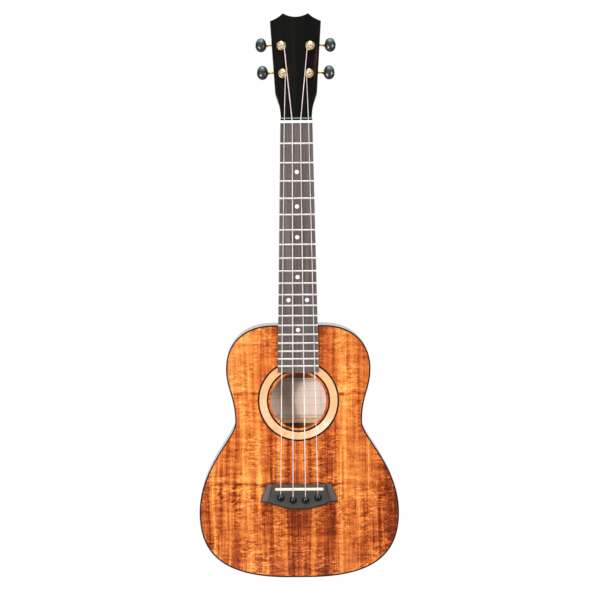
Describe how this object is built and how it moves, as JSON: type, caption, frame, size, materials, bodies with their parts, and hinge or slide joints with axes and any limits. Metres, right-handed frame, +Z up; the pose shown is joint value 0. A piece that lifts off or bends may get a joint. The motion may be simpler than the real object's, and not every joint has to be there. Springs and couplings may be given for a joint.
{
  "type": "ukulele",
  "caption": "Tenor ukulele with a waisted wooden soundbox, round soundhole with a pale rosette, bolted neck with a tilted slotless head, open-gear tuners and a pin bridge.",
  "frame": {"origin": "on the centre line where the fretboard meets the nut, in the plane of the soundboard: the place where a wall hanger holds the neck", "axes": "+Z up along the neck, +Y from the soundboard to the back, +X across the strings to the right seen from the front"},
  "size_m": [0.237, 0.0846, 0.6703],
  "materials": {
    "koa_top": "glossy lacquered curly koa",
    "koa_back": "glossy lacquered koa",
    "koa_side": "glossy lacquered koa",
    "binding": "polished black",
    "rosette_maple": "lacquered pale wood",
    "mahogany": "satin",
    "spruce": "bare wood",
    "paper": "bare paper",
    "ebony": "polished",
    "board_wood": "oiled dark wood",
    "bridge_wood": "oiled dark wood",
    "fret_wire": "polished nickel silver",
    "pearl": "pearl",
    "bone": "polished bone",
    "pin_black": "glossy",
    "nylon": "translucent nylon",
    "knob_black": "glossy",
    "gold": "gold plated",
    "brass": "machined brass",
    "steel": "zinc plated"
  },
  "bodies": {
    "instrument": {"soundboard": "koa_top", "back_plate": "koa_back", "side_bass": "koa_side", "side_treble": "koa_side", "tail_graft": "ebony", "binding_front": "binding", "binding_back": "binding", "rosette_ring": "rosette_maple", "rosette_purfling": "binding", "head_block": "mahogany", "tail_block": "mahogany", "linings": "mahogany", "top_braces": "spruce", "fan_braces": "spruce", "back_braces": "spruce", "bridge_plate": "mahogany", "label": "paper", "neck": "mahogany", "headstock": "mahogany", "headstock_veneer": "ebony", "heel_cap": "ebony", "neck_bolt": "steel", "bolt_washer": "steel", "heel_insert": "brass", "fretboard": "board_wood", "frets": "fret_wire", "position_dots": "pearl", "side_dots": "pearl", "nut": "bone", "bridge": "bridge_wood", "saddle": "bone", "string_1": "nylon", "string_2": "nylon", "string_3": "nylon", "string_4": "nylon", "tuner_plates": "gold", "plate_screws": "gold", "post_bushings": "gold"},
    "tuner_knob_1": {"knob_1": "knob_black", "worm_shaft_1": "gold"},
    "tuner_post_1": {"gear_1": "brass", "post_1": "gold"},
    "string_pin_1": {"bridge_pin_1": "pin_black"},
    "tuner_knob_2": {"knob_2": "knob_black", "worm_shaft_2": "gold"},
    "tuner_post_2": {"gear_2": "brass", "post_2": "gold"},
    "string_pin_2": {"bridge_pin_2": "pin_black"},
    "tuner_knob_3": {"knob_3": "knob_black", "worm_shaft_3": "gold"},
    "tuner_post_3": {"gear_3": "brass", "post_3": "gold"},
    "string_pin_3": {"bridge_pin_3": "pin_black"},
    "tuner_knob_4": {"knob_4": "knob_black", "worm_shaft_4": "gold"},
    "tuner_post_4": {"gear_4": "brass", "post_4": "gold"},
    "string_pin_4": {"bridge_pin_4": "pin_black"}
  },
  "joints": [
    {"name": "knob_1_turn", "type": "hinge", "parent": "instrument", "child": "tuner_knob_1", "pos_m": [-0.0155, 0.03153, 0.05996], "axis": [-1, 0, 0], "continuous": true},
    {"name": "post_1_turn", "type": "hinge", "parent": "instrument", "child": "tuner_post_1", "pos_m": [-0.0155, 0.02638, 0.05507], "axis": [0, 0.9703, -0.2419], "continuous": true},
    {"name": "pin_1_pull", "type": "slide", "parent": "instrument", "child": "string_pin_1", "axis": [0, -1, 0], "range_m": [0, 0.024]},
    {"name": "knob_2_turn", "type": "hinge", "parent": "instrument", "child": "tuner_knob_2", "pos_m": [-0.0171, 0.03975, 0.09295], "axis": [-1, 0, 0], "continuous": true},
    {"name": "post_2_turn", "type": "hinge", "parent": "instrument", "child": "tuner_post_2", "pos_m": [-0.0171, 0.0346, 0.08805], "axis": [0, 0.9703, -0.2419], "continuous": true},
    {"name": "pin_2_pull", "type": "slide", "parent": "instrument", "child": "string_pin_2", "axis": [0, -1, 0], "range_m": [0, 0.024]},
    {"name": "knob_3_turn", "type": "hinge", "parent": "instrument", "child": "tuner_knob_3", "pos_m": [0.0171, 0.03975, 0.09295], "axis": [1, 0, 0], "continuous": true},
    {"name": "post_3_turn", "type": "hinge", "parent": "instrument", "child": "tuner_post_3", "pos_m": [0.0171, 0.0346, 0.08805], "axis": [0, 0.9703, -0.2419], "continuous": true},
    {"name": "pin_3_pull", "type": "slide", "parent": "instrument", "child": "string_pin_3", "axis": [0, -1, 0], "range_m": [0, 0.024]},
    {"name": "knob_4_turn", "type": "hinge", "parent": "instrument", "child": "tuner_knob_4", "pos_m": [0.0155, 0.03153, 0.05996], "axis": [1, 0, 0], "continuous": true},
    {"name": "post_4_turn", "type": "hinge", "parent": "instrument", "child": "tuner_post_4", "pos_m": [0.0155, 0.02638, 0.05507], "axis": [0, 0.9703, -0.2419], "continuous": true},
    {"name": "pin_4_pull", "type": "slide", "parent": "instrument", "child": "string_pin_4", "axis": [0, -1, 0], "range_m": [0, 0.024]}
  ],
  "couplings": [
    {"joint": "post_1_turn", "follows": "knob_1_turn", "ratio": -0.071429},
    {"joint": "post_2_turn", "follows": "knob_2_turn", "ratio": -0.071429},
    {"joint": "post_3_turn", "follows": "knob_3_turn", "ratio": -0.071429},
    {"joint": "post_4_turn", "follows": "knob_4_turn", "ratio": -0.071429}
  ]
}
